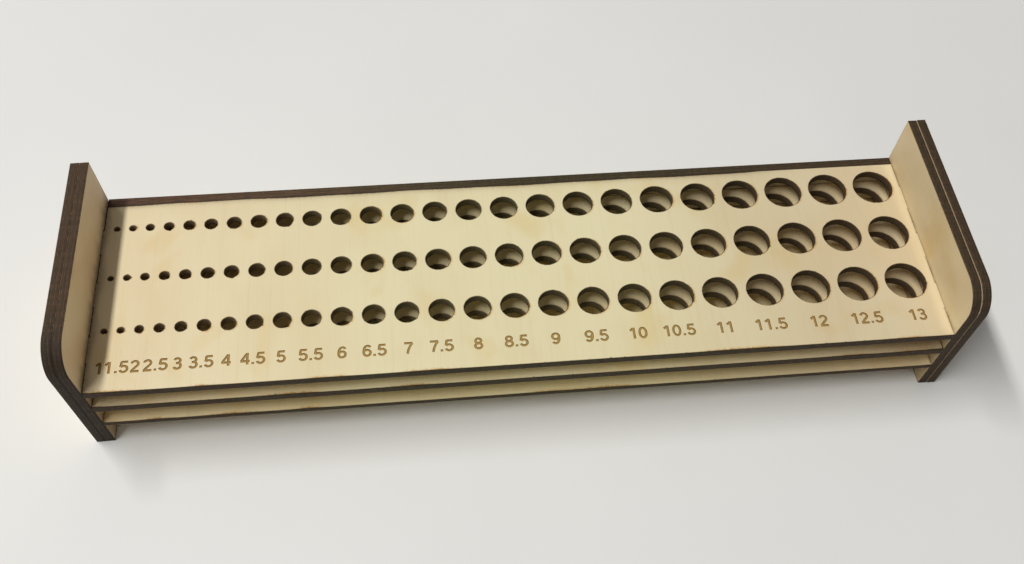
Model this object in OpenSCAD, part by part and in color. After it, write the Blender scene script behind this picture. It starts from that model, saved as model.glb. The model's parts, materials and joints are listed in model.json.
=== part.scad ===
/* [Drill sizes] */
// Smallest drill that has a hole
smallest_drill = 1; // [1:0.5:3]
// Largest drill that has a hole
largest_drill = 13; // [6:0.5:14]
// Step from one drill size to the next
drill_step = 0.5; // [0.5:0.5:1]
// How much wider each hole is than its drill
hole_play = 1; // [0.2:0.1:1.5]

/* [Hole layout] */
// Number of rows, front to back
rows = 3; // [1:1:3]
// Front edge of the boards to the centre line of the first row
first_row = 22; // [18:1:22]
// Distance from one row to the next
row_pitch = 20; // [18:1:20]
// Wood left between neighbouring holes and at both ends of a row
web = 3; // [2:0.5:6]

/* [Boards] */
// Front edge to back panel
board_depth = 72; // [72:1:90]
// Thickness of the two boards with holes
board_thickness = 3; // [2:0.5:4]
// Thickness of the board that the drills stand on
floor_thickness = 2; // [2:0.5:4]
// Thickness of the back panel
back_thickness = 3; // [2:0.5:4]

/* [Levels] */
// Underside of the floor board above the bench
floor_level = 11.5; // [8:0.5:12]
// Underside of the middle board above the bench
middle_level = 21.5; // [18:0.5:24]
// Underside of the top board above the bench
top_level = 31; // [29:0.5:36]

/* [Side plates] */
// Thickness of each of the two layers of a side
side_layer = 3; // [2:0.5:4]
// Height of the sides
side_height = 54; // [48:1:70]
// Radius of the upper front corner
corner_radius = 10; // [2:1:14]

/* [Tabs] */
// Number of tabs at each end of a board
tabs = 3; // [2:1:4]
// Height of the back panel's end tabs
back_tab_height = 12; // [6:1:14]

/* [Hidden] */
$fn = 64;

cut = 1; // how far a cutting solid runs past the face it opens
columns = floor((largest_drill - smallest_drill) / drill_step) + 1;
depth = board_depth + back_thickness;
top_surface = top_level + board_thickness;
tab_length = board_depth / (2 * tabs + 1); // tabs and the gaps between them are equally long

function hole_diameter(column) = smallest_drill + column * drill_step + hole_play;

// total width of the first holes of a row, with the wood to the left of each
function span_of(holes) =
    holes == 0 ? 0 : span_of(holes - 1) + web + hole_diameter(holes - 1);

function hole_x(column) = span_of(column) + web + hole_diameter(column) / 2;

function row_y(row) = first_row + row * row_pitch;

board_length = span_of(columns) + web;
back_height = top_surface - floor_level;
back_tab_level = floor_level + (back_height - back_tab_height) / 2;

// Moves shapes drawn from the left end of the boards, the front edge and the bench
// so that the origin is at the middle of the footprint, on the bench.
module centred() {
    translate([-board_length / 2, -depth / 2, 0]) children();
}

// Turns an outline drawn as depth and height into an upright plate whose left face is at x.
module upright(x, thickness) {
    translate([x, 0, 0]) rotate([90, 0, 90]) linear_extrude(thickness) children();
}

// The tabs at one end of a board, or the slots that take them.
module end_tabs(x, level, thickness) {
    for (tab = [1:tabs])
        translate([x, (2 * tab - 1) * tab_length, level])
            cube([side_layer, tab_length, thickness]);
}

// A plain board between the sides, with its tabs.
module board(level, thickness) {
    translate([0, 0, level]) cube([board_length, board_depth, thickness]);
    end_tabs(-side_layer, level, thickness);
    end_tabs(board_length, level, thickness);
}

// A board with one hole for each drill size in every row.
module drilled_board(level) {
    difference() {
        board(level, board_thickness);
        for (row = [0:rows - 1], column = [0:columns - 1])
            translate([hole_x(column), row_y(row), level - cut])
                cylinder(d = hole_diameter(column), h = board_thickness + 2 * cut);
    }
}

// A side seen from its end: square corners except the rounded one at the upper front.
module side_outline() {
    square([depth, side_height - corner_radius]);
    translate([corner_radius, 0]) square([depth - corner_radius, side_height]);
    translate([corner_radius, side_height - corner_radius]) circle(corner_radius);
}

// The layer that holds the boards: slots for their tabs and an open notch for the back panel.
module slotted_side(x) {
    difference() {
        upright(x, side_layer) side_outline();
        end_tabs(x, floor_level, floor_thickness);
        end_tabs(x, middle_level, board_thickness);
        end_tabs(x, top_level, board_thickness);
        translate([x, board_depth, back_tab_level])
            cube([side_layer, back_thickness + cut, back_tab_height]);
    }
}

module top_board() {
    color("wheat") centred() drilled_board(top_level);
}

module middle_board() {
    color("burlywood") centred() drilled_board(middle_level);
}

module bottom_board() {
    color("burlywood") centred() board(floor_level, floor_thickness);
}

module back_panel() {
    color("tan") centred() {
        translate([0, board_depth, floor_level]) cube([board_length, back_thickness, back_height]);
        translate([-side_layer, board_depth, back_tab_level])
            cube([board_length + 2 * side_layer, back_thickness, back_tab_height]);
    }
}

module left_inner_side() {
    color("burlywood") centred() slotted_side(-side_layer);
}

module left_outer_side() {
    color("tan") centred() upright(-2 * side_layer, side_layer) side_outline();
}

module right_inner_side() {
    color("burlywood") centred() slotted_side(board_length);
}

module right_outer_side() {
    color("tan") centred() upright(board_length + side_layer, side_layer) side_outline();
}

top_board();
middle_board();
bottom_board();
back_panel();
left_inner_side();
left_outer_side();
right_inner_side();
right_outer_side();
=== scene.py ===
"""A laser-cut plywood stand for twist drills, with engraved sizes, standing on a pale table.

Every plywood piece is a new mesh that stands for one CAD node. Lengths are in millimetres until a
mesh is placed in the frame, which is in metres.
"""

import json
import math
import random

import bmesh
import bpy
import numpy as np
from mathutils import Matrix, Vector
from mathutils.geometry import delaunay_2d_cdt


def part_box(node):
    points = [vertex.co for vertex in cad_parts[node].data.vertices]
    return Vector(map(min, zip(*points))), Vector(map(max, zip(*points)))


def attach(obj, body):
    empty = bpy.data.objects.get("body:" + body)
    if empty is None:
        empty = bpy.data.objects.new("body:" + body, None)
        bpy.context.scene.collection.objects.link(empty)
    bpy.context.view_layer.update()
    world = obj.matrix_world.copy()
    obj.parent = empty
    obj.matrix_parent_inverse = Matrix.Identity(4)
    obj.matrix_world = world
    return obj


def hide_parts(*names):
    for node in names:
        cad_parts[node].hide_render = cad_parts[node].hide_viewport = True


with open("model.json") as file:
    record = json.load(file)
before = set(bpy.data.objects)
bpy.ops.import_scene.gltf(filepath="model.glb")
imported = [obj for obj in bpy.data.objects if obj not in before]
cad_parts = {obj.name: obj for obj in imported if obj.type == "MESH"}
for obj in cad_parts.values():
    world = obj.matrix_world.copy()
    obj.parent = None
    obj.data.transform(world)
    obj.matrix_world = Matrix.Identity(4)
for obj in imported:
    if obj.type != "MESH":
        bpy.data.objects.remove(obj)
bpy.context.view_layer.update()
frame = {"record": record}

MM = 0.001
BODY = "root"
ON_VENEER, ON_EDGE, ON_ENGRAVING = 0, 1, 2  # a plate's materials, in the order it lists them

# plywood, in millimetres
BEVEL = 0.07  # the laser leaves each edge a little round
HOLE_TRIM = 0.1  # a drawn hole is this much smaller in radius, to allow for the char round it
NICKS = (0.03, 0.08, 0.16, 0.3)  # how deep the nick may be where a hole's cut began
NICK_WIDTH = 0.35
WAVER = 0.035  # how far a hole's edge wanders
RINGS = (0.12, 0.35, 0.7, 1.2)  # contours beside a cut that carry its scorch
FAR = 2.0  # distance given to wood that no cut reaches
UNDER_SHEET = 300.0  # sets the wood figure of a plate's under face apart from the upper one's
HOLE_SHEET = 37.0  # sets the figure of each hole's wall apart from the one before
SHEET_SPAN = 900.0  # each piece's figure starts at random within this length
SCORCH_FADE = 0.5  # over this distance from a cut the browning falls to about a third
ARC_STEP = 0.45  # length of one chord round a hole or a rounded corner
EDGE_STEP = 6.0  # length of one step along a straight edge

# engraved sizes, in millimetres
PLAY = 1.0  # a hole is this much wider than its drill
LABEL_HEIGHT = 4.1
LABEL_BASE = 6.5  # front edge of the board to the foot of the digits
STROKE = 0.8
ENGRAVED_DEPTH = 0.2
RIM = 0.22  # width of the darker outline inside each stroke

# how far to the right of its hole each label stands, from this size up to the next one listed
LABEL_SHIFT = {1: 0.0, 7.5: -0.7, 10: -0.9, 10.5: -1.6, 11: -1.0, 12: -0.6, 13: 0.0}

# the sides and their joints, as the CAD has them
TABS = 3
CORNER_RADIUS = 10.0
NOTCH_HEIGHT = 12.0

# how the real sides sit, in millimetres and degrees
LEFT_LEAN = 1.7  # the left side leans out, about a line at LEAN_LEVEL above the table
LEAN_LEVEL = 24.0
JOINT_LAP = 0.2  # how far the boards' ends reach into the leaning side
# how far each layer stands above its place in the CAD
LIFT = {"left_inner_side": 0.1, "left_outer_side": 0.2, "right_outer_side": 0.4}

# each piece's own tone, which multiplies the veneer's red, green and blue; the middle and bottom
# boards are lighter, partly in their own tone and partly as painted light for the light that reaches
# in between the boards
BOARD_TINT_AND_LIGHT = {
    "top_board": (1.0, 1.0, 1.0),
    "middle_board": (1.12, 1.12, 1.11),
    "bottom_board": (1.08, 1.07, 1.02),
}
PANEL_TINT = (1.0, 1.0, 1.0)
LEFT_INNER_TINT = (1.14, 1.08, 1.09)
RIGHT_INNER_TINT = (0.92, 0.895, 0.85)
OUTER_TINT = (1.0, 0.98, 0.97)

# how much browner than black the cut edges are
PANEL_TOAST = 0.36
LEFT_TOAST = 0.08


# ---------------------------------------------------------------- outlines


def straight(a, b, step=EDGE_STEP):
    """Points from a up to, but not including, b."""
    a, b = np.array(a, float), np.array(b, float)
    n = max(1, int(np.linalg.norm(b - a) / step))
    return [tuple(a + (b - a) * k / n) for k in range(n)]


def polygon(corners):
    """A closed outline through the corners, with a point every few millimetres."""
    points = []
    for a, b in zip(corners, corners[1:] + corners[:1]):
        points += straight(a, b)
    return points


def arc(cx, cy, rx, ry, start, end, steps):
    """Points on an ellipse from one angle to another, in degrees."""
    angles = np.radians(np.linspace(start, end, steps + 1))
    return [(cx + rx * math.cos(t), cy + ry * math.sin(t)) for t in angles]


def offset(loop, distance):
    """A closed outline moved to its left by a distance: inwards when it runs anticlockwise."""
    p = np.array(loop, float)
    before, after = p - np.roll(p, 1, axis=0), np.roll(p, -1, axis=0) - p
    before /= np.linalg.norm(before, axis=1)[:, None]
    after /= np.linalg.norm(after, axis=1)[:, None]
    left_before = np.stack([-before[:, 1], before[:, 0]], 1)
    left_after = np.stack([-after[:, 1], after[:, 0]], 1)
    mitre = left_before + left_after
    mitre /= (mitre * left_after).sum(1)[:, None]
    return [tuple(q) for q in p + distance * mitre]


def round_hole(x, y, radius, rng):
    """A laser-cut hole: round, with a small nick where the cut began."""
    count = max(24, int(2 * math.pi * radius / ARC_STEP))
    began = rng.uniform(-1.5, 0.6)
    nick = rng.choice(NICKS)
    points = []
    for k in range(count):
        t = 2 * math.pi * k / count
        away = math.remainder(t - began, 2 * math.pi) * radius
        nicked = nick * math.exp(-((away / NICK_WIDTH) ** 2))
        r = radius - HOLE_TRIM + nicked + rng.uniform(-WAVER, WAVER)
        points.append((x + r * math.cos(t), y + r * math.sin(t)))
    return points


def tab_spans(depth):
    """Where each tab begins and ends: tabs and the gaps between them are equally long."""
    step = depth / (2 * TABS + 1)
    return [((2 * k + 1) * step, (2 * k + 2) * step) for k in range(TABS)]


def tabbed_board(length, depth, tab, left=0.0):
    """The outline of a board, with tabs that stand out at each end. left is where its left
    edge runs."""
    corners = [(left, 0), (length, 0)]
    for a, b in tab_spans(depth):
        corners += [(length, a), (length + tab, a), (length + tab, b), (length, b)]
    corners += [(length, depth), (left, depth)]
    for a, b in reversed(tab_spans(depth)):
        corners += [(left, b), (-tab, b), (-tab, a), (left, a)]
    return polygon(corners)


def side_outline(depth, height, notch=None):
    """A side seen from the end, front at the left: rounded at the upper front. notch is the
    lower and upper height and the width of an opening in the rear edge."""
    corners = [(0, 0), (depth, 0)]
    if notch:
        low, high, width = notch
        corners += [(depth, low), (depth - width, low), (depth - width, high), (depth, high)]
    corners += [(depth, height), (CORNER_RADIUS, height)]
    points = []
    for a, b in zip(corners, corners[1:]):
        points += straight(a, b)
    steps = int(CORNER_RADIUS * math.pi / 2 / ARC_STEP / 2)
    points += arc(
        CORNER_RADIUS, height - CORNER_RADIUS, CORNER_RADIUS, CORNER_RADIUS, 90, 180, steps
    )
    points += straight((0, height - CORNER_RADIUS), (0, 0))[1:]
    return points


# ---------------------------------------------------------------- engraved digits

# Centre lines of upright digits one unit high.
SIX = [
    arc(0.395, 0.32, 0.262, 0.258, -4, 184, 14),
    arc(0.395, 0.32, 0.262, 0.258, 176, 364, 14),
    arc(0.425, 0.45, 0.292, 0.49, 195, 88, 12),
    arc(0.42, 0.74, 0.22, 0.2, 95, 14, 6),
]
DIGITS = {
    "0": [
        arc(0.388, 0.5, 0.262, 0.438, -3, 183, 16),
        arc(0.388, 0.5, 0.262, 0.438, 177, 363, 16),
    ],
    "1": [[(0.46, 0.0), (0.46, 1.0)], [(0.155, 0.745), (0.28, 0.81), (0.38, 0.9), (0.44, 0.97)]],
    "2": [
        arc(0.375, 0.7, 0.255, 0.238, 168, -32, 14) + [(0.3, 0.27), (0.165, 0.11)],
        [(0.062, 0.062), (0.705, 0.062)],
    ],
    "3": [
        arc(0.365, 0.735, 0.225, 0.203, 160, -90, 14),
        arc(0.375, 0.287, 0.262, 0.245, 90, -162, 14),
        [(0.27, 0.532), (0.4, 0.532)],
    ],
    "4": [
        [(0.545, 0.0), (0.545, 1.0)],
        [(0.03, 0.29), (0.735, 0.29)],
        [(0.075, 0.29), (0.52, 0.96)],
    ],
    "5": [
        [(0.16, 0.938), (0.665, 0.938)],
        [(0.205, 0.97), (0.14, 0.5)],
        arc(0.375, 0.325, 0.275, 0.265, 142, -162, 16),
    ],
    "6": SIX,
    "7": [[(0.07, 0.938), (0.715, 0.938)], [(0.69, 0.93), (0.51, 0.66), (0.37, 0.34), (0.3, 0.0)]],
    "8": [
        arc(0.388, 0.735, 0.217, 0.203, -4, 184, 12),
        arc(0.388, 0.735, 0.217, 0.203, 176, 364, 12),
        arc(0.388, 0.287, 0.262, 0.228, -4, 184, 14),
        arc(0.388, 0.287, 0.262, 0.228, 176, 364, 14),
    ],
    "9": [[(0.775 - x, 1 - y) for x, y in line] for line in SIX],
    ".": [[(0.19, 0.0), (0.19, 0.19)]],
}
ADVANCE = {".": 0.388}
DIGIT_ADVANCE = 0.777


def label_lines(text, x, y, height):
    """The centre lines of a label whose foot is centred on x, y."""
    width = sum(ADVANCE.get(c, DIGIT_ADVANCE) for c in text)
    pen, lines = -width / 2, []
    for c in text:
        for line in DIGITS[c]:
            lines.append([(x + (pen + px) * height, y + py * height) for px, py in line])
        pen += ADVANCE.get(c, DIGIT_ADVANCE)
    return lines


def stroke_polygon(line, half):
    """The outline of a stroke of a given half width along a centre line, with square ends."""
    p = np.array(line, float)
    along = np.gradient(p, axis=0)
    along /= np.linalg.norm(along, axis=1)[:, None]
    left = np.stack([-along[:, 1], along[:, 0]], 1) * half
    return [tuple(q) for q in np.concatenate([p - left, (p + left)[::-1]])]


def distance_to_lines(points, lines):
    """How far each point is from the nearest of some lines, up to FAR."""
    start = np.concatenate([np.array(line[:-1], float) for line in lines])
    along = np.concatenate([np.array(line[1:], float) for line in lines]) - start
    square = (along**2).sum(1)
    best = np.full(len(points), FAR)
    for first in range(0, len(points), 500):
        away = points[first : first + 500, None] - start
        t = np.clip((away * along).sum(2) / square, 0, 1)
        gap = np.linalg.norm(away - t[..., None] * along, axis=2).min(1)
        best[first : first + 500] = np.minimum(gap, FAR)
    return best


# ---------------------------------------------------------------- plywood meshes


class Face:
    """One flat face of a plate, cut into triangles by its outline, holes, scorch contours and
    engraved strokes. Each vertex knows its distance from the nearest cut and how browned it is."""

    def __init__(self, outline, holes, lines, rings, browning, spots=()):
        self.points, self.edges, self.cut, self.halo = [], [], [], []
        polygons, self.loops = [], []
        for k, (loop, inward) in enumerate([(outline, 1)] + [(h, -1) for h in holes]):
            first = len(self.points)
            self._contour(loop, 0.0, browning[k])
            polygons.append(list(range(first, first + len(loop))))
            self.loops.append(polygons[-1])
            for gap in rings:
                self._contour(offset(loop, inward * gap), gap, browning[k])
        solid = len(polygons)
        for line in lines:
            for half in (STROKE / 2, STROKE / 2 - RIM):
                first = len(self.points)
                shape = stroke_polygon(line, half)
                self.points += shape
                self.cut += [FAR] * len(shape)
                self.halo += [0.0] * len(shape)
                polygons.append(list(range(first, first + len(shape))))
        if len(spots):
            loops = [loop + loop[:1] for loop in (outline, *holes)]
            spots = spots[distance_to_lines(spots, loops) > rings[-1] + 0.2]
            self.points += [tuple(q) for q in spots]
            self.cut += [FAR] * len(spots)
            self.halo += [0.0] * len(spots)
        out, _, faces, origin, _, inside = delaunay_2d_cdt(
            [Vector(p) for p in self.points], self.edges, polygons, 1, 1e-5, True
        )
        self.xy = np.array([tuple(v) for v in out])
        first_of = {}
        for new, olds in enumerate(origin):
            for old in olds:
                first_of[old] = new
        self.loops = [[first_of[i] for i in loop] for loop in self.loops]
        self.vertex_cut = np.array([min([self.cut[i] for i in o], default=FAR) for o in origin])
        self.vertex_halo = np.array([max([self.halo[i] for i in o], default=0.0) for o in origin])
        self.plain, self.engraved = [], []
        for face, within in zip(faces, inside):
            if 0 not in within or any(0 < i < solid for i in within):
                continue
            (self.engraved if any(i >= solid for i in within) else self.plain).append(face)
        near = distance_to_lines(self.xy, lines) if lines else np.full(len(self.xy), FAR)
        self.rim = np.clip((near - (STROKE / 2 - RIM)) / RIM, 0, 1)

    def _contour(self, loop, gap, brown):
        """Adds a closed contour that runs at a distance from a cut."""
        first, n = len(self.points), len(loop)
        self.points += loop
        self.edges += [(first + i, first + (i + 1) % n) for i in range(n)]
        self.cut += [gap] * n
        self.halo += [brown(p) * math.exp(-gap / SCORCH_FADE) for p in loop]


def hole_browning(x, y, rng):
    """Smoke drifts to one side, so a hole is browned most at its lower right."""
    lee, strength = rng.uniform(-0.75, 0.1), rng.uniform(0.35, 1.0)

    def brown(p):
        t = math.atan2(p[1] - y, p[0] - x)
        return strength * (0.18 + 0.82 * max(0.0, math.cos(t - lee)) ** 2)

    return brown


def edge_browning(rng):
    """A few brown patches along the front and rear edges of a drawing as large as a board."""
    length, depth, count = 280, 72, 12
    patches = [
        (rng.uniform(0, length), rng.choice((0, depth)), rng.uniform(2, 8)) for _ in range(count)
    ]

    def brown(p):
        return 0.04 + 0.9 * max(
            math.exp(-(((p[0] - x) / s) ** 2) - ((p[1] - y) / s) ** 2) for x, y, s in patches
        )

    return brown


def nowhere(x, y):
    """The amount at a point of something that a plate has none of."""
    return 0.0


def plate(
    name,
    node,
    outline,
    holes,
    thickness,
    place,
    seed,
    tint,
    labels=(),
    soot_and_shade=((), nowhere),
    toast=nowhere,
    calm=0.0,
):
    """A plywood plate as a closed mesh that replaces a CAD node. outline and holes run
    anticlockwise, and holes is a list of (loop, browning). place turns (x, y, height) into the
    frame, in metres. soot is (grid of points, function of x and y) for smoke on the upper face,
    and on the middle board for painted shade at its front corners.
    tint multiplies the veneer's colour. toast says how much browner than black the cut edge is,
    and below zero how sooty it is. calm is 1 for veneer with soft clouds in place of streaks."""
    rng = random.Random(seed)
    loops = [offset(outline, BEVEL)] + [offset(loop, -BEVEL) for loop, _ in holes]
    brownings = [edge_browning(rng)] + [b for _, b in holes]
    lines = [line for label in labels for line in label]
    fine_points, smoke_and_shade = soot_and_shade
    top = Face(loops[0], loops[1:], lines, RINGS, brownings, fine_points)
    under = Face(loops[0], loops[1:], [], RINGS[1:], brownings)

    co, cut, halo, rim = [], [], [], []
    faces, corner, slot = [], [], []
    shift = (rng.uniform(0, SHEET_SPAN), rng.uniform(0, SHEET_SPAN))

    def add(xy, w, c, h, r):
        """Adds vertices at height w with their cut, halo and rim values."""
        first = len(co)
        co.extend((x, y, w) for x, y in xy)
        cut.extend(c)
        halo.extend(h)
        rim.extend(r)
        return first

    def sheet_of(i, side):
        """Where a vertex of the upper face (side 0) or the under face lies in the wood."""
        x, y, _ = co[i]
        return (x + shift[0], y + shift[1], side)

    # the two faces
    t0 = add(top.xy, thickness, top.vertex_cut, top.vertex_halo, top.rim)
    u0 = add(under.xy, 0.0, under.vertex_cut, under.vertex_halo, under.rim)
    for f in top.plain:
        ids = [t0 + i for i in f]
        faces.append(ids)
        corner += [sheet_of(i, 0) for i in ids]
        slot.append(ON_VENEER)
    for f in under.plain:
        ids = [u0 + i for i in reversed(f)]
        faces.append(ids)
        corner += [sheet_of(i, UNDER_SHEET) for i in ids]
        slot.append(ON_VENEER)

    # the engraved floor and its walls
    if top.engraved:
        used = sorted({i for f in top.engraved for i in f})
        floor = thickness - ENGRAVED_DEPTH
        g0 = add(top.xy[used], floor, top.vertex_cut[used], top.vertex_halo[used], top.rim[used])
        low = {i: g0 + k for k, i in enumerate(used)}
        sides = {}
        for f in top.engraved:
            ids = [low[i] for i in f]
            faces.append(ids)
            corner += [sheet_of(i, 0) for i in ids]
            slot.append(ON_ENGRAVING)
            for a, b in zip(f, f[1:] + f[:1]):
                sides[(a, b)] = True
        for a, b in sides:
            if (b, a) not in sides:
                ids = [t0 + a, t0 + b, low[b], low[a]]
                faces.append(ids)
                corner += [sheet_of(i, 0) for i in ids]
                slot.append(ON_ENGRAVING)

    # the cut edges, from the top bevel down to the lower one
    heights = [thickness - BEVEL, thickness * 0.72, thickness * 0.28, BEVEL]
    for k, (loop_top, loop_under) in enumerate(zip(top.loops, under.loops)):
        nominal = outline if k == 0 else holes[k - 1][0]
        n = len(loop_top)
        brown = [brownings[k](p) for p in nominal]
        strips = [[t0 + i for i in loop_top]]
        for w in heights:
            first = add(nominal, w, [0.0] * n, brown, [0.0] * n)
            strips.append(list(range(first, first + n)))
        strips.append([u0 + i for i in loop_under])
        levels = [thickness, *heights, 0.0]
        p = np.array(nominal, float)
        steps = np.linalg.norm(np.roll(p, -1, axis=0) - p, axis=1)
        along = np.concatenate([[0], np.cumsum(steps)]) + shift[0] + HOLE_SHEET * k
        for s in range(len(strips) - 1):
            for i in range(n):
                j = (i + 1) % n
                ids = [strips[s][i], strips[s + 1][i], strips[s + 1][j], strips[s][j]]
                sheet = [
                    (along[i], levels[s], k),
                    (along[i], levels[s + 1], k),
                    (along[i + 1], levels[s + 1], k),
                    (along[i + 1], levels[s], k),
                ]
                if k > 0:  # the wall of a hole looks the other way
                    ids.reverse()
                    sheet.reverse()
                faces.append(ids)
                corner += sheet
                slot.append(ON_EDGE)

    mesh = bpy.data.meshes.new(name)
    mesh.from_pydata([place(*p) for p in co], [], faces)
    for material in (VENEER, LASER_EDGE, ENGRAVED):
        mesh.materials.append(material)
    mesh.polygons.foreach_set("material_index", slot)
    # smoke on the upper face, and on the middle board the painted shade at its front corners
    sooty = [smoke_and_shade(x, y) if w > thickness / 2 else 0.0 for x, y, w in co]
    toasted = [toast(x, y) for x, y, _ in co]
    for label, values in (
        ("cut", cut),
        ("halo", halo),
        ("rim", rim),
        ("soot_and_shade", sooty),
        ("toast", toasted),
        ("calm", [calm] * len(co)),
        ("tint_r", [tint[0]] * len(co)),
        ("tint_g", [tint[1]] * len(co)),
        ("tint_b", [tint[2]] * len(co)),
    ):
        layer = mesh.attributes.new(label, "FLOAT", "POINT")
        layer.data.foreach_set("value", np.array(values, np.float32))
    layer = mesh.attributes.new("sheet", "FLOAT_VECTOR", "CORNER")
    layer.data.foreach_set("vector", np.array(corner, np.float32).ravel())
    mesh.validate()
    mesh.update()
    if mesh_volume(mesh) < 0:
        mesh.flip_normals()
    mesh.polygons.foreach_set("use_smooth", [s == ON_EDGE for s in slot])
    mesh.set_sharp_from_angle(angle=math.radians(50))
    piece = bpy.data.objects.new(name, mesh)
    bpy.context.scene.collection.objects.link(piece)
    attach(piece, BODY)
    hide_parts(node)
    "birch_side" if "side" in node else "birch_board"
    return piece


def mesh_volume(mesh):
    """The volume inside a closed mesh: negative when its faces look inwards."""
    bm = bmesh.new()
    bm.from_mesh(mesh)
    volume = bm.calc_volume(signed=True)
    bm.free()
    return volume


# ---------------------------------------------------------------- materials


class Nodes:
    """Short forms for building a material's nodes."""

    def __init__(self, name):
        self.material = bpy.data.materials.new(name)
        self.material.use_nodes = True
        self.tree = self.material.node_tree
        self.shader = self.tree.nodes["Principled BSDF"]

    def new(self, kind, **settings):
        node = self.tree.nodes.new("ShaderNode" + kind)
        for key, value in settings.items():
            setattr(node, key, value)
        return node

    def link(self, source, target):
        self.tree.links.new(source, target)

    def value(self, name):
        return self.new("Attribute", attribute_name=name).outputs["Fac"]

    def sheet(self, scale):
        """The plywood's own coordinates in millimetres, multiplied along each axis."""
        source = self.new("Attribute", attribute_name="sheet")
        mapping = self.new("Mapping")
        mapping.inputs["Scale"].default_value = scale
        self.link(source.outputs["Vector"], mapping.inputs["Vector"])
        return mapping.outputs["Vector"]

    def noise(self, scale, detail=3.0, rough=0.5, distortion=0.0):
        node = self.new("TexNoise")
        node.inputs["Scale"].default_value = 1.0
        node.inputs["Detail"].default_value = detail
        node.inputs["Roughness"].default_value = rough
        node.inputs["Distortion"].default_value = distortion
        self.link(self.sheet(scale), node.inputs["Vector"])
        return node.outputs["Fac"]

    def remap(self, source, low, high, to_low=0.0, to_high=1.0, smooth=True):
        node = self.new("MapRange", interpolation_type="SMOOTHSTEP" if smooth else "LINEAR")
        for key, value in zip(
            ("From Min", "From Max", "To Min", "To Max"), (low, high, to_low, to_high)
        ):
            node.inputs[key].default_value = value
        self.link(source, node.inputs["Value"])
        return node.outputs["Result"]

    def math(self, operation, a, b=None):
        node = self.new("Math", operation=operation)
        for k, value in enumerate((a, b)):
            if value is None:
                continue
            if isinstance(value, (int, float)):
                node.inputs[k].default_value = value
            else:
                self.link(value, node.inputs[k])
        return node.outputs[0]

    def mix(self, amount, a, b, blend="MIX"):
        node = self.new("Mix", data_type="RGBA", blend_type=blend)
        for socket, value in ((node.inputs[0], amount), (node.inputs[6], a), (node.inputs[7], b)):
            if isinstance(value, (int, float)):
                socket.default_value = value
            elif isinstance(value, tuple):
                socket.default_value = (*value, 1.0)
            else:
                self.link(value, socket)
        return node.outputs[2]

    def place(self):
        """The position on the stand, in metres, as three separate outputs."""
        parts = self.new("SeparateXYZ")
        self.link(self.new("TexCoord").outputs["Object"], parts.inputs[0])
        return parts.outputs

    def along_stand(self, colour, middle, ends):
        """Multiplies a colour by one tint at the middle of the stand and another at its ends."""
        away = self.math("ABSOLUTE", self.place()["X"])
        tint = self.mix(self.remap(away, 0.02, 0.14), middle, ends)
        return self.mix(1.0, colour, tint, "MULTIPLY")

    def finish(self, colour, roughness, height=None, strength=0.3, distance=0.0001):
        self.link(colour, self.shader.inputs["Base Color"])
        self.link(roughness, self.shader.inputs["Roughness"])
        if height is not None:
            bump = self.new("Bump")
            bump.inputs["Strength"].default_value = strength
            bump.inputs["Distance"].default_value = distance
            self.link(height, bump.inputs["Height"])
            self.link(bump.outputs["Normal"], self.shader.inputs["Normal"])
        return self.material


def srgb(r, g, b):
    """A colour given as 0 to 255 screen values, in the linear form that shaders use."""
    return tuple(((c / 255 + 0.055) / 1.055) ** 2.4 if c > 10 else c / 3294.6 for c in (r, g, b))


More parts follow.
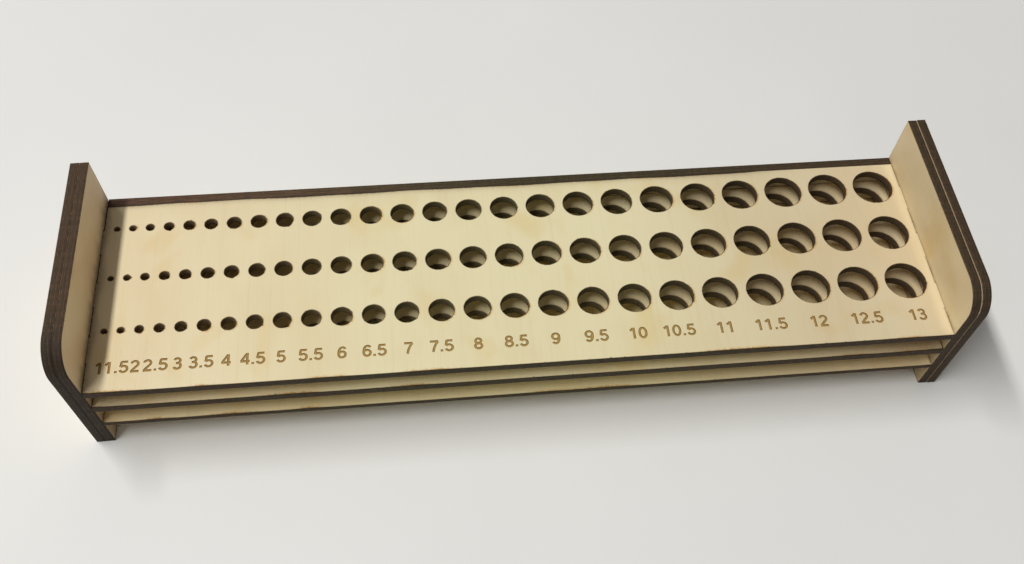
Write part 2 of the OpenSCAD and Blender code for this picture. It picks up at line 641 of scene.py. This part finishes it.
def veneer_material():
    """Pale rotary-cut birch: soft clouds, faint streaks along the grain, short pores, and the
    brown and black that the laser leaves beside its cuts."""
    n = Nodes("birch_veneer")
    clouds = n.noise((0.035, 0.018, 1.0), detail=3.0, rough=0.55)
    colour = n.mix(n.remap(clouds, 0.35, 0.68), srgb(228, 214, 177), srgb(224, 207, 168))
    warm = n.noise((0.06, 0.045, 2.0), detail=2.0, rough=0.5, distortion=0.4)
    colour = n.mix(n.remap(warm, 0.54, 0.76, 0, 0.7), colour, srgb(222, 198, 146))
    lively = n.math("SUBTRACT", 1.0, n.math("MULTIPLY", n.value("calm"), 0.8))
    bands = n.noise((0.55, 0.012, 1.0), detail=4.0, rough=0.6)
    streaks = n.noise((3.2, 0.07, 1.0), detail=5.0, rough=0.62)
    pale = n.noise((2.1, 0.05, 7.0), detail=4.0, rough=0.6)
    pores = n.noise((9.0, 0.8, 3.0), detail=2.0, rough=0.5)
    for figure, low, high, most, shade in (
        (bands, 0.5, 0.78, 0.3, (211, 192, 150)),
        (streaks, 0.5, 0.8, 0.26, (206, 186, 144)),
        (pale, 0.56, 0.82, 0.3, (240, 226, 194)),
        (pores, 0.67, 0.78, 0.22, (172, 146, 104)),
    ):
        amount = n.math("MULTIPLY", n.remap(figure, low, high, 0, most), lively)
        colour = n.mix(amount, colour, srgb(*shade))
    # soft clouds, on calm pieces only
    soft = n.noise((0.04, 0.06, 1.0), detail=2.0, rough=0.45)
    shaded = n.mix(1.0, colour, (0.93, 0.89, 0.85), "MULTIPLY")
    colour = n.mix(n.math("MULTIPLY", n.remap(soft, 0.38, 0.64), n.value("calm")), colour, shaded)
    # a few small dark specks
    cells = n.new("TexVoronoi", feature="F1", distance="EUCLIDEAN")
    cells.inputs["Scale"].default_value = 1.0
    n.link(n.sheet((0.085, 0.085, 1.0)), cells.inputs["Vector"])
    chosen = n.new("SeparateColor")
    n.link(cells.outputs["Color"], chosen.inputs[0])
    speck = n.math(
        "MULTIPLY",
        n.remap(cells.outputs["Distance"], 0.014, 0.034, 1.0, 0.0),
        n.math("GREATER_THAN", chosen.outputs[0], 0.9),
    )
    colour = n.mix(n.math("MULTIPLY", speck, 0.6), colour, srgb(105, 82, 58))
    # each piece's own tone, which on the middle and bottom boards is partly painted light, and
    # greener at the middle of the stand
    own = n.new("CombineXYZ")
    for socket, name in (("X", "tint_r"), ("Y", "tint_g"), ("Z", "tint_b")):
        n.link(n.value(name), own.inputs[socket])
    colour = n.mix(1.0, colour, own.outputs[0], "MULTIPLY")
    colour = n.along_stand(colour, (0.985, 1.03, 1.0), (1.0, 0.985, 0.985))
    # painted shade: darker towards the right, where the light falls off, except the last few
    # millimetres by the right side, which are left lighter as painted bounce light from that side
    across = n.place()["X"]
    browner = n.mix(1.0, colour, (0.88, 0.865, 0.865), "MULTIPLY")
    right = n.math("MULTIPLY", n.remap(across, 0.02, 0.1), n.remap(across, 0.134, 0.138, 1.0, 0.0))
    colour = n.mix(right, colour, browner)
    # smoke, and painted shade at the middle board's front corners, then orange-brown scorch, then a
    # thin dark line of char beside the cuts
    mottle = n.noise((0.9, 0.9, 1.0), detail=4.0, rough=0.65)
    fine = n.noise((3.2, 3.2, 1.0), detail=4.0, rough=0.65)
    cut, halo = n.value("cut"), n.value("halo")
    ragged = n.noise((1.1, 1.1, 2.0), detail=3.0, rough=0.6)
    smoke_and_shade = n.math("MULTIPLY", n.value("soot_and_shade"), n.remap(mottle, 0.25, 0.7, 0.7, 1.15))
    colour = n.mix(n.remap(smoke_and_shade, 0.0, 1.1, 0, 0.9, smooth=False), colour, srgb(128, 103, 70))
    colour = n.mix(n.remap(smoke_and_shade, 0.72, 1.1, 0, 0.9), colour, srgb(88, 70, 46))
    stain = n.math("MULTIPLY", halo, n.remap(mottle, 0.3, 0.65, 0.35, 1.25))
    colour = n.mix(n.remap(stain, 0.05, 0.55, 0, 0.9), colour, srgb(190, 142, 58))
    reach = n.math("ADD", n.math("MULTIPLY", halo, 0.2), n.math("MULTIPLY", fine, 0.2))
    reach = n.math("ADD", reach, n.remap(ragged, 0.6, 0.74, 0.0, 0.3))
    burnt = n.math(
        "MULTIPLY", n.remap(n.value("soot_and_shade"), 0.45, 1.0), n.remap(ragged, 0.3, 0.7, 0.45, 0.95)
    )
    edge = n.math("SUBTRACT", cut, n.math("ADD", reach, burnt))
    colour = n.mix(n.remap(edge, -0.2, 0.12, 0.85, 0.0), colour, srgb(120, 90, 44))
    colour = n.mix(n.remap(edge, -0.21, 0.04, 0.97, 0.0), colour, srgb(52, 43, 30))
    height = n.math("ADD", n.math("MULTIPLY", streaks, 0.6), n.math("MULTIPLY", pores, -0.5))
    rough = n.remap(streaks, 0.2, 0.8, 0.5, 0.68)
    n.shader.inputs["Specular IOR Level"].default_value = 0.35
    return n.finish(colour, rough, height, strength=0.25, distance=0.00008)


def laser_edge_material():
    """Charred ply seen edge on: three plies, dark brown with thin red-brown lines at the glue,
    and fine ribs across the sheet from the pulses of the laser."""
    n = Nodes("laser_cut_edge")
    parts = n.new("SeparateXYZ")
    n.link(n.sheet((1.0, 1.0, 1.0)), parts.inputs[0])
    level = parts.outputs["Y"]
    along = n.noise((0.35, 1.6, 1.0), detail=4.0, rough=0.6)
    colour = n.mix(n.remap(along, 0.3, 0.72), srgb(49, 43, 32), srgb(66, 57, 43))
    lengthwise = n.noise((0.12, 5.5, 1.0), detail=4.0, rough=0.65)
    colour = n.mix(n.remap(lengthwise, 0.48, 0.72, 0, 0.6), colour, srgb(84, 69, 50))
    dark = n.noise((0.1, 7.0, 4.0), detail=3.0, rough=0.6)
    colour = n.mix(n.remap(dark, 0.55, 0.75, 0, 0.6), colour, srgb(34, 29, 23))
    # the third sheet coordinate is 0 on the outline and counts the holes by size
    index = parts.outputs["Z"]
    on_sides = n.math("MULTIPLY", n.value("calm"), n.remap(index, 0.4, 0.6, 1.0, 0.0))
    sooty = n.remap(n.value("toast"), -0.08, 0.0, 1.0, 0.0)
    colour = n.mix(n.math("MULTIPLY", sooty, 0.45), colour, srgb(38, 35, 31))
    # thin broken lines: red-brown at the two glue joints, and on the sides also just inside the
    # two faces, pale or, where the edge is sooty, black
    wobble = n.math("MULTIPLY", n.noise((0.25, 0.0, 3.0), detail=2.0), 0.18)
    wavy = n.math("SUBTRACT", level, wobble)
    glue = srgb(116, 84, 58)
    by_face = n.mix(sooty, srgb(140, 110, 86), srgb(14, 12, 10))
    for line, tone in ((0.16, by_face), (0.85, glue), (2.05, glue), (2.84, by_face)):
        away = n.math("ABSOLUTE", n.math("SUBTRACT", wavy, line - 0.09))
        broken = n.noise((0.5, 0.0, line * 7), detail=3.0, rough=0.7)
        amount = n.math(
            "MULTIPLY", n.remap(away, 0.03, 0.14, 1.0, 0.0), n.remap(broken, 0.42, 0.66, 0, 0.75)
        )
        if tone is by_face:
            amount = n.math("MULTIPLY", amount, on_sides)
        colour = n.mix(amount, colour, tone)
    ribs = n.noise((6.5, 0.35, 1.0), detail=3.0, rough=0.6)
    colour = n.mix(n.remap(ribs, 0.55, 0.8, 0, 0.45), colour, srgb(36, 31, 24))
    brown = n.math("MULTIPLY", n.value("toast"), n.remap(lengthwise, 0.4, 0.64, 0.1, 2.0))
    colour = n.mix(brown, colour, srgb(112, 82, 66))
    # painted light: the walls of holes are lighter the smaller the hole, standing for the light seen
    # inside the dark holes
    lighter_when_small = n.remap(index, 2, 66, 0.85, 0.1, smooth=False)
    small_hole_light = n.math("MULTIPLY", n.remap(index, 0.4, 0.6), lighter_when_small)
    colour = n.mix(small_hole_light, colour, srgb(142, 126, 98))
    colour = n.along_stand(colour, (1.06, 1.13, 0.94), (1.1, 0.98, 0.93))
    height = n.math("ADD", ribs, n.math("MULTIPLY", lengthwise, 0.5))
    rough = n.remap(ribs, 0.3, 0.75, 0.6, 0.85)
    n.shader.inputs["Specular IOR Level"].default_value = 0.2
    return n.finish(colour, rough, height, strength=0.45, distance=0.00012)


def engraved_material():
    """Raster-engraved wood: a tan floor with fine brown lines, darkest at the outline."""
    n = Nodes("engraved_birch")
    mottle = n.noise((1.6, 1.6, 1.0), detail=4.0, rough=0.6)
    colour = n.mix(n.remap(mottle, 0.3, 0.7), srgb(170, 137, 80), srgb(148, 115, 62))
    lines = n.noise((0.4, 9.0, 1.0), detail=2.0)
    colour = n.mix(n.remap(lines, 0.45, 0.7, 0, 0.5), colour, srgb(142, 104, 54))
    rim = n.value("rim")
    colour = n.mix(n.remap(rim, 0.05, 0.8, 0, 0.95), colour, srgb(92, 68, 32))
    colour = n.along_stand(colour, (1.12, 1.2, 1.13), (1.05, 1.02, 0.98))
    rough = n.remap(lines, 0.3, 0.7, 0.7, 0.85)
    n.shader.inputs["Specular IOR Level"].default_value = 0.25
    return n.finish(colour, rough, lines, strength=0.4, distance=0.00008)


VENEER = veneer_material()
LASER_EDGE = laser_edge_material()
ENGRAVED = engraved_material()


# ---------------------------------------------------------------- the stand

inner_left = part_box("left_inner_side")[1].x / MM
inner_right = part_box("right_inner_side")[0].x / MM
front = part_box("top_board")[0].y / MM
tab = (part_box("left_inner_side")[1].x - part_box("left_inner_side")[0].x) / MM
board_length = inner_right - inner_left
board_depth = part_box("back_panel")[0].y / MM - front

bores = [m for m in frame["record"]["mounts"] if m["kind"] == "bore"]
hole_places = [
    (m["pos_m"][0] / MM - inner_left, m["pos_m"][1] / MM - front, m["dims"]["r_mm"]) for m in bores
]
front_row = min(y for _, y, _ in hole_places)


def lying(node):
    """Puts a flat drawing, seen from above, at the height of a board."""
    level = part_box(node)[0].z / MM

    def place(x, y, w):
        return ((inner_left + x) * MM, (front + y) * MM, (level + w) * MM)

    return place


def drilled(seed):
    """The holes of one board, each with its own nick and stain."""
    rng = random.Random(seed)
    holes = []
    for x, y, r in sorted(hole_places):
        holes.append((round_hole(x, y, r, rng), hole_browning(x, y, rng)))
    return holes


def board(node, holes, labels, seed):
    """One board, with its left end drawn to where the leaning side stands at its height."""
    low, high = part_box(node)
    thickness = (high.z - low.z) / MM
    above = (low.z + high.z) / 2 / MM - LEAN_LEVEL
    left = -JOINT_LAP - above * math.tan(math.radians(LEFT_LEAN))
    outline = tabbed_board(board_length, board_depth, tab, left)
    return plate(
        f"{node}_plywood",
        node,
        outline,
        holes,
        thickness,
        lying(node),
        seed,
        BOARD_TINT_AND_LIGHT[node],
        labels=labels,
        soot_and_shade=board_soot_and_shade(node),
    )


def grid(x0, x1, y0, y1, step):
    """A square grid of points."""
    x, y = np.meshgrid(np.arange(x0, x1, step), np.arange(y0, y1, step))
    return np.stack([x.ravel(), y.ravel()], 1)


def board_soot_and_shade(node):
    """Points for a finer mesh near a board's ends and rear edge, and the smoke on its face. The
    smoke lies along the left end and the rear edge, with a breath of it at the right end. On the
    middle board it lies along both ends and round the holes, and its front corners are darker with
    painted shade from the top board above them."""
    ends = [
        grid(-tab, 3.5, 0, board_depth, 0.7),
        grid(board_length - 3.5, board_length, 0, board_depth, 0.7),
        grid(4, board_length - 4, board_depth - 3, board_depth, 0.9),
    ]
    hole_x, hole_y, hole_r = np.array(hole_places).T

    def smoke_and_shade(x, y):
        """The smoke at a point, and the painted shade at the middle board's front corners, fading
        with its distance in millimetres from each place.
        """
        from_right, from_rear = board_length - x, board_depth - y
        reach = 1.5 + 0.5 * math.sin(0.31 * y + 1.0)
        left = 0.7 * math.exp(-((max(0.0, x) / reach) ** 2))
        right = 0.4 * math.exp(-((from_right / 0.5) ** 2))
        patchy = 0.76 + 0.16 * math.sin(0.09 * x + 1.3) + 0.1 * math.sin(0.23 * x)
        rear = 0.85 * math.exp(-((from_rear / 0.9) ** 2)) + 0.35 * math.exp(-((from_rear / 2.3) ** 2))
        rear *= patchy / (1 + math.exp((x - 228) / 6))
        if node != "middle_board":
            return max(left, right, rear)
        gap = (np.hypot(hole_x - x, hole_y - y) - hole_r).min()
        amount = 0.75 + 0.35 * math.exp(-((x / 90) ** 4))
        round_holes = amount * math.exp(-max(0.0, gap) / 0.9)
        joint = 0.4 * math.exp(-((from_right / 2.4) ** 2))
        # painted shade: the middle board's front corners are darkened to stand for the shade under
        # the top board
        corner = max(0.6 * math.exp(-((x / 20) ** 2)), 0.66 * math.exp(-((from_right / 26) ** 2)))
        return max(left, joint, round_holes, corner * math.exp(-((y / 9) ** 2)))

    return np.concatenate(ends), smoke_and_shade


def side_soot(amount, reach, floor, stain):
    """Smoke on an inner side above the top board: darkest between the tabs, where amount is its
    strength, and floor the share of it that is left beside a tab. reach is how high it rises, in
    millimetres, and stain how brown the face is further up."""
    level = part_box("top_board")[1].z / MM
    step = board_depth / (2 * TABS + 1)
    phases = (0.3, 2.1, 4.0)

    def smoke_and_shade(y, z):
        height = max(0.0, z - level)
        between = 0.5 + 0.5 * math.cos(2 * math.pi * (y / step - 0.5) / 2)
        wander = 1.0 + 0.5 * sum(math.sin(w * y + p) for w, p in zip((0.5, 0.83, 1.37), phases)) / 3
        low = amount * (floor + (1 - floor) * between) * math.exp(-((height / reach / wander) ** 2))
        drift = 0.8 + 0.2 * math.sin(0.11 * y + 0.17 * z)
        return max(low, stain * drift * (1 - math.exp(-((height / 9) ** 2))))

    joint = grid(0, board_depth, level - 0.4, level + 6.0, 0.7)
    upper = grid(1, board_depth, level + 7, level + 20, 2.5)
    return np.concatenate([joint, upper]), smoke_and_shade


def label_shift(size):
    """How far to the right of its hole the label of a size stands."""
    return LABEL_SHIFT[max(s for s in LABEL_SHIFT if s <= round(size, 3))]


sizes = []
for x, y, r in sorted(hole_places):
    if abs(y - front_row) < 1:
        size = 2 * r - PLAY
        sizes.append(label_lines(f"{size:g}", x + label_shift(size), LABEL_BASE, LABEL_HEIGHT))
board("top_board", drilled(11), sizes, 1)
board("middle_board", drilled(12), (), 2)
board("bottom_board", [], (), 3)


def back_outline():
    """The back panel seen from behind the front edge, with its end tabs."""
    low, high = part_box("back_panel")
    height = (high.z - low.z) / MM
    a, b = (height - NOTCH_HEIGHT) / 2, (height + NOTCH_HEIGHT) / 2
    w = board_length
    return polygon(
        [
            (0, 0),
            (w, 0),
            (w, a),
            (w + tab, a),
            (w + tab, b),
            (w, b),
            (w, height),
            (0, height),
            (0, b),
            (-tab, b),
            (-tab, a),
            (0, a),
        ]
    )


panel_low, panel_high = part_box("back_panel")
panel_thickness = (panel_high.y - panel_low.y) / MM


def standing_panel(x, y, w):
    """The panel's upper drawing face looks to the front."""
    return ((inner_left + x) * MM, panel_high.y - w * MM, panel_low.z + y * MM)


def panel_toast(x, y):
    """The panel's edges are browner towards the left."""
    return PANEL_TOAST * math.exp(-((max(0.0, x) / 105) ** 4))


plate(
    "back_panel_plywood",
    "back_panel",
    back_outline(),
    [],
    panel_thickness,
    standing_panel,
    4,
    PANEL_TINT,
    toast=panel_toast,
)


def slots(rng):
    """The slots for the boards' tabs in an inner side, seen from the end."""
    found = []
    for node in ("bottom_board", "middle_board", "top_board"):
        low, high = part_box(node)[0].z / MM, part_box(node)[1].z / MM
        for a, b in tab_spans(board_depth):
            loop = polygon([(a, low), (b, low), (b, high), (a, high)])
            found.append((loop, hole_browning((a + b) / 2, low, rng)))
    return found


def side(node, seed):
    """One layer of a side: drawn as depth and height, and stood up with the drawing's upper
    face towards the boards."""
    low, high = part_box(node)
    thickness = (high.x - low.x) / MM
    depth, height = (high.y - low.y) / MM, (high.z - low.z) / MM
    inner = "inner" in node
    middle = (panel_low.z + panel_high.z) / 2 / MM
    notch = (middle - NOTCH_HEIGHT / 2, middle + NOTCH_HEIGHT / 2, panel_thickness)
    outline = side_outline(depth, height, notch if inner else None)
    holes = slots(random.Random(seed + 50)) if inner else []
    left = node.startswith("left")
    pivot = Vector((inner_left, front, LEAN_LEVEL)) * MM
    lean = Matrix.Rotation(math.radians(-LEFT_LEAN), 4, "Y")
    lean = Matrix.Translation(pivot) @ lean @ Matrix.Translation(-pivot)
    lift = LIFT.get(node, 0.0)

    def place(x, y, w):
        """A raised layer also stands half as far forward as it is raised."""
        across = low.x + w * MM if left else high.x - w * MM
        p = Vector((across, low.y + (x - lift / 2) * MM, low.z + (y + lift) * MM))
        return tuple(lean @ p) if left else tuple(p)

    soot_and_shade, tint = ((), nowhere), OUTER_TINT
    if inner and left:
        soot_and_shade, tint = side_soot(amount=0.75, reach=2.9, floor=0.7, stain=0.0), LEFT_INNER_TINT
    elif inner:
        soot_and_shade, tint = side_soot(amount=0.8, reach=0.8, floor=0.1, stain=0.22), RIGHT_INNER_TINT

    def toast(x, y):
        """The left side's edges are brown along the top and sooty at the front."""
        return LEFT_TOAST * math.tanh((x - 12) / 4) if left else 0.0

    return plate(
        f"{node}_plywood",
        node,
        outline,
        holes,
        thickness,
        place,
        seed,
        tint,
        soot_and_shade=soot_and_shade,
        toast=toast,
        calm=1.0,
    )


for k, name in enumerate(
    ("left_inner_side", "left_outer_side", "right_inner_side", "right_outer_side")
):
    side(name, 20 + k)


# ---------------------------------------------------------------- table, light and camera


def table_material():
    """A pale, slightly mottled work surface."""
    material = bpy.data.materials.new("table_white")
    material.use_nodes = True
    tree = material.node_tree
    shader = tree.nodes["Principled BSDF"]
    where = tree.nodes.new("ShaderNodeTexCoord")
    noise = tree.nodes.new("ShaderNodeTexNoise")
    noise.inputs["Scale"].default_value = 9.0
    noise.inputs["Detail"].default_value = 4.0
    ramp = tree.nodes.new("ShaderNodeValToRGB")
    darker, lighter = ramp.color_ramp.elements
    darker.position = 0.3
    lighter.position = 0.7
    darker.color = (0.77, 0.77, 0.755, 1)
    lighter.color = (0.8, 0.8, 0.785, 1)
    tree.links.new(where.outputs["Object"], noise.inputs["Vector"])
    tree.links.new(noise.outputs["Fac"], ramp.inputs["Fac"])
    tree.links.new(ramp.outputs["Color"], shader.inputs["Base Color"])
    shader.inputs["Roughness"].default_value = 0.55
    shader.inputs["Specular IOR Level"].default_value = 0.3
    return material


def table():
    mesh = bpy.data.meshes.new("table")
    half = 3.0
    corners = [(-half, -half, 0), (half, -half, 0), (half, half, 0), (-half, half, 0)]
    mesh.from_pydata(corners, [], [(0, 1, 2, 3)])
    mesh.materials.append(table_material())
    floor = bpy.data.objects.new("table", mesh)
    bpy.context.scene.collection.objects.link(floor)


def lights():
    """A long narrow ceiling light up to the left, running front to back, and a soft sky that is
    brighter on the left."""
    light = bpy.data.lights.new("ceiling_strip", "AREA")
    light.shape = "RECTANGLE"
    light.size = 0.13
    light.size_y = 1.5
    light.energy = 27.0
    light.color = (1.0, 0.985, 0.95)
    strip = bpy.data.objects.new("ceiling_strip", light)
    strip.location = (-0.69, 0.0, 1.6)
    strip.rotation_euler = (0, math.radians(-40), 0)
    bpy.context.scene.collection.objects.link(strip)
    world = bpy.data.worlds.new("room")
    world.use_nodes = True
    nodes = world.node_tree.nodes
    link = world.node_tree.links.new
    sky = nodes["Background"]
    sky.inputs["Color"].default_value = (0.98, 0.98, 1.0, 1)
    where = nodes.new("ShaderNodeTexCoord")
    parts = nodes.new("ShaderNodeSeparateXYZ")
    fade = nodes.new("ShaderNodeMapRange")
    ends = (("From Min", -0.6), ("From Max", 0.6), ("To Min", 0.35), ("To Max", 0.12))
    for socket, value in ends:
        fade.inputs[socket].default_value = value
    link(where.outputs["Generated"], parts.inputs[0])
    link(parts.outputs["X"], fade.inputs["Value"])
    link(fade.outputs["Result"], sky.inputs["Strength"])
    bpy.context.scene.world = world


def camera():
    """Above the front of the stand and a little left of its middle, looking down at it. The
    numbers come from fitting a camera to the hole centres and the stand's corners."""
    data = bpy.data.cameras.new("camera")
    data.sensor_width = 36.0
    data.lens = 37.0
    data.clip_start = 0.01
    cam = bpy.data.objects.new("camera", data)
    right = Vector((0.9948, -0.09556, 0.03524)).normalized()
    ahead = Vector((0.08142, 0.53822, -0.83886)).normalized()
    up = right.cross(ahead).normalized()
    right = ahead.cross(up)
    turn = Matrix((right, up, -ahead)).transposed().to_4x4()
    eye = (-0.03225, -0.19463, 0.32734)
    cam.matrix_world = Matrix.Translation(eye) @ turn
    bpy.context.scene.collection.objects.link(cam)
    bpy.context.scene.camera = cam


table()
lights()
camera()
bpy.context.scene.view_settings.view_transform = "Standard"
